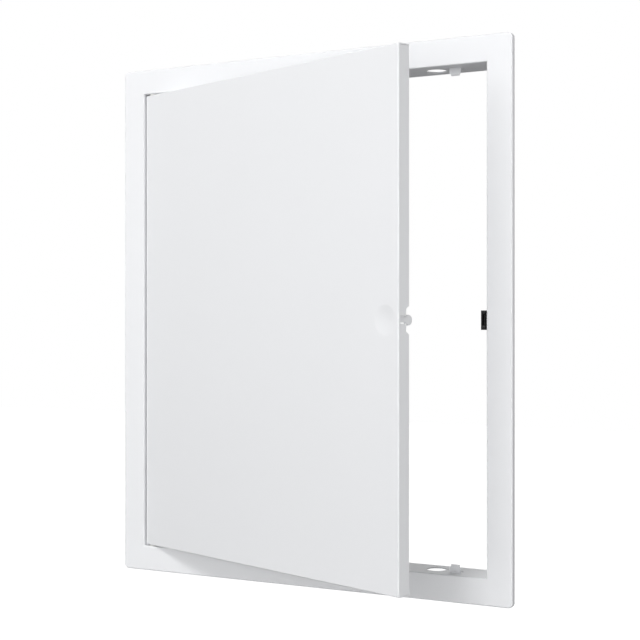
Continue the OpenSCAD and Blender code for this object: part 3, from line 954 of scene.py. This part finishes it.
@dataclass
class LatchWorks:
    """What moves in the case: the sprung slider with its hooked jaws and their pins."""

    edge: float = 0.1 * MM
    well_low: Point = (116.3 * MM, 6.8 * MM, -1.5 * MM)
    well_high: Point = (119.6 * MM, 10.6 * MM, 1.5 * MM)
    pin_chamfer: float = 0.12 * MM
    pin_sides: int = 24
    wire: float = 0.22 * MM
    wire_sides: int = 10
    closed_pitch: float = 1.06
    turns: int = 8
    travel: float = 2.2 * MM

    def jaw_pins(self) -> None:
        """Turn the chamfered pins that the jaws swing on."""
        for side in Side:
            low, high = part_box(f"jaw_pin_{side.word}")
            radius, length, chamfer = (high.z - low.z) / 2, high.x - low.x, self.pin_chamfer
            work = Work(f"jaw_axle_{side.word}")
            work.turned([(radius - chamfer, 0.0), (radius, chamfer), (radius, length - chamfer),
                         (radius - chamfer, length)], sides=self.pin_sides)
            work.place((low.x, (low.y + high.y) / 2, (low.z + high.z) / 2), (0.0, 90.0, 0.0))
            work.hand_over("latch_slider", "zinc", [f"jaw_pin_{side.word}"])

    def spring(self) -> None:
        """Wind the spring with a closed turn at each end, and give it a mesh of its own."""
        low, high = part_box("latch_spring")
        coil = (high.x - low.x) / 2 - self.wire
        length = high.y - low.y
        closed = self.closed_pitch * 2 * self.wire
        pitch = (length - 2 * self.wire - 2 * closed) / (self.turns - 2)
        work = Work("latch_coil_spring")
        work.coiled(self.wire, coil, [(1, closed), (self.turns - 2, pitch), (1, closed)],
                    sides=self.wire_sides, start=self.wire)
        axis_x, axis_z = (low.x + high.x) / 2, (low.z + high.z) / 2
        work.place((axis_x, low.y, axis_z), (-90.0, 0.0, 0.0))
        spring = work.hand_over("frame", "zinc", ["latch_spring"])
        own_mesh(spring)

    def carriage(self) -> None:
        """Sink the slider's front between the jaws, where the tongue comes in."""
        work = Work("latch_carriage")
        work.copy_solid(frame["nodes"]["latch_slider"])
        well = Work("well_tool")
        well.block(self.well_low, self.well_high)
        work.cut(well)
        work.ease(self.edge)
        work.hand_over("latch_slider", "black_plastic", ["latch_slider"])

    def build(self) -> None:
        """Build the slider, jaws, pins and spring."""
        self.carriage()
        for side in Side:
            jaw = f"latch_jaw_{side.word}"
            hook = f"latch_hook_{side.word}"
            EasedSolid(jaw, hook, jaw, "black_plastic", self.edge).build()
        self.jaw_pins()
        self.spring()


@dataclass
class Lamp:
    """A square softbox that faces the panel's centre, placed by two angles from the front."""

    name: str
    turn_deg: float
    lift_deg: float
    watts: float
    distance: float = 2.2
    width: float = 1.4

    def build(self) -> None:
        """Build the lamp and turn it to the panel."""
        data = bpy.data.lights.new(self.name, "AREA")
        data.size = self.width
        data.energy = self.watts
        lamp = bpy.data.objects.new(self.name, data)
        bpy.context.scene.collection.objects.link(lamp)
        turn, lift = math.radians(self.turn_deg), math.radians(self.lift_deg)
        towards = Vector((math.sin(turn) * math.cos(lift), -math.cos(turn) * math.cos(lift),
                          math.sin(lift)))
        lamp.location = self.distance * towards
        lamp.rotation_euler = (-towards).to_track_quat("-Z", "Y").to_euler()


@dataclass
class Studio:
    """Camera, floor, backdrop and lamps."""

    camera_place: Point = (0.4331, -0.7577, 0.0001)
    camera_turn_deg: float = 29.196
    camera_sees: float = 50.0
    lens_mm: float = 79.08
    sensor_mm: float = 36.0
    sky_color: Point = (0.97, 0.98, 1.0)
    floor_color: Point = (0.5, 0.5, 0.5)
    floor_z: float = -0.55
    floor_half: float = 6.0
    near_lift: float = 0.8
    lift_reach: tuple[float, float] = (1.2, 2.2)
    ambient: float = 0.1
    lamps: list[Lamp] = field(default_factory=lambda: [
        Lamp("key", 0.0, 45.0, 16.5, width=0.5),
        Lamp("high", 0.0, 50.0, 11.0),
        Lamp("front", 0.0, 10.0, 1.2),
        Lamp("front_right", 15.0, 0.0, 10.7),
        Lamp("left", -35.0, 30.0, 2.8, width=0.7),
        Lamp("left_level", -20.0, 14.0, 4.4, width=0.5),
        Lamp("left_low", -20.0, -12.0, 5.8, width=1.0),
        Lamp("right_low", 75.0, -12.0, 22.9),
        Lamp("rear", 180.0, 12.0, 10.0, width=0.6),
    ])

    def add_camera(self) -> None:
        """Place the level camera to the right of the panel, as the photograph has it."""
        data = bpy.data.cameras.new("camera")
        data.sensor_width = self.sensor_mm
        data.lens = self.lens_mm
        data.clip_end = self.camera_sees
        camera = bpy.data.objects.new("camera", data)
        bpy.context.scene.collection.objects.link(camera)
        camera.location = self.camera_place
        camera.rotation_euler = (math.pi / 2, 0.0, math.radians(self.camera_turn_deg))
        bpy.context.scene.camera = camera

    def add_world(self) -> None:
        """Light the object with a pale sky, and show plain white to the camera and to gloss."""
        world = bpy.data.worlds.new("backdrop")
        world.use_nodes = True
        net = ShaderNet(world.node_tree)
        out = net.add("OutputWorld")
        mix = net.add("MixShader")
        soft = net.add("Background")
        soft.inputs["Color"].default_value = (*self.sky_color, 1.0)
        soft.inputs["Strength"].default_value = self.ambient
        white = net.add("Background")
        white.inputs["Color"].default_value = (1.0, 1.0, 1.0, 1.0)
        path = net.add("LightPath")
        seen = net.maths("MAXIMUM", path.outputs["Is Camera Ray"], path.outputs["Is Glossy Ray"])
        seen = net.maths("MAXIMUM", seen, path.outputs["Is Transmission Ray"])
        net.join(seen, mix.inputs["Fac"])
        net.join(soft.outputs["Background"], mix.inputs[1])
        net.join(white.outputs["Background"], mix.inputs[2])
        net.join(mix.outputs["Shader"], out.inputs["Surface"])
        bpy.context.scene.world = world

    def add_floor(self) -> None:
        """Lay the pale floor, lifted to white far off and less so where the shadow lies."""
        bpy.ops.object.select_all(action="DESELECT")
        bpy.ops.mesh.primitive_plane_add(size=2 * self.floor_half,
                                         location=(0.0, 0.0, self.floor_z))
        floor = bpy.context.object
        floor.name = "studio_floor"
        material = bpy.data.materials.new("studio_floor")
        material.use_nodes = True
        net = ShaderNet(material.node_tree)
        out = net.add("OutputMaterial")
        total = net.add("AddShader")
        matt = net.add("BsdfDiffuse")
        matt.inputs["Color"].default_value = (*self.floor_color, 1.0)
        lift = net.add("Emission")
        path = net.add("LightPath")
        place = net.add("TexCoord")
        away = net.add("VectorMath", operation="LENGTH")
        net.join(place.outputs["Object"], away.inputs[0])
        rise = net.add("MapRange")
        levels = (*self.lift_reach, self.near_lift)
        for label, level in zip(("From Min", "From Max", "To Min"), levels):
            rise.inputs[label].default_value = level
        net.join(away.outputs["Value"], rise.inputs["Value"])
        shown = net.maths("MULTIPLY", path.outputs["Is Camera Ray"], rise.outputs["Result"])
        net.join(shown, lift.inputs["Strength"])
        net.join(matt.outputs["BSDF"], total.inputs[0])
        net.join(lift.outputs["Emission"], total.inputs[1])
        net.join(total.outputs["Shader"], out.inputs["Surface"])
        floor.data.materials.append(material)

    def build(self) -> None:
        """Build the whole studio."""
        bpy.context.scene.view_settings.view_transform = "Standard"
        self.add_camera()
        self.add_world()
        self.add_floor()
        for lamp in self.lamps:
            lamp.build()
        log.info("studio: %d lamps", len(self.lamps))


def dress_solids(materials: dict[str, bpy.types.Material]) -> None:
    """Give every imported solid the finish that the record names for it.

    Args:
        materials: The finished materials by slot.
    """
    slots = {part["node"]: part["material_slot"] for part in frame["record"]["subparts"]}
    for name, solid in frame["nodes"].items():
        solid.data.materials.clear()
        solid.data.materials.append(materials[slots[name]])
        log.info("%s: %s", name, slots[name])


def main() -> None:
    """Build the finishes, the pieces and the studio."""
    logging.basicConfig(level=logging.INFO, format="%(name)s %(message)s")
    grain_group()
    drift_group()
    materials = {slot: finish.build() for slot, finish in FINISHES.items()}
    dress_solids(materials)
    EasedSolid("frame", "frame_pressing", "frame", "paint", edge=0.12 * MM).build()
    leaf = LeafPan()
    leaf.build()
    Strike().build(leaf)
    Hinge().build()
    LatchCase().build()
    LatchWorks().build()
    LatchScrews().build()
    Studio().build()


if __name__ == "__main__":
    main()
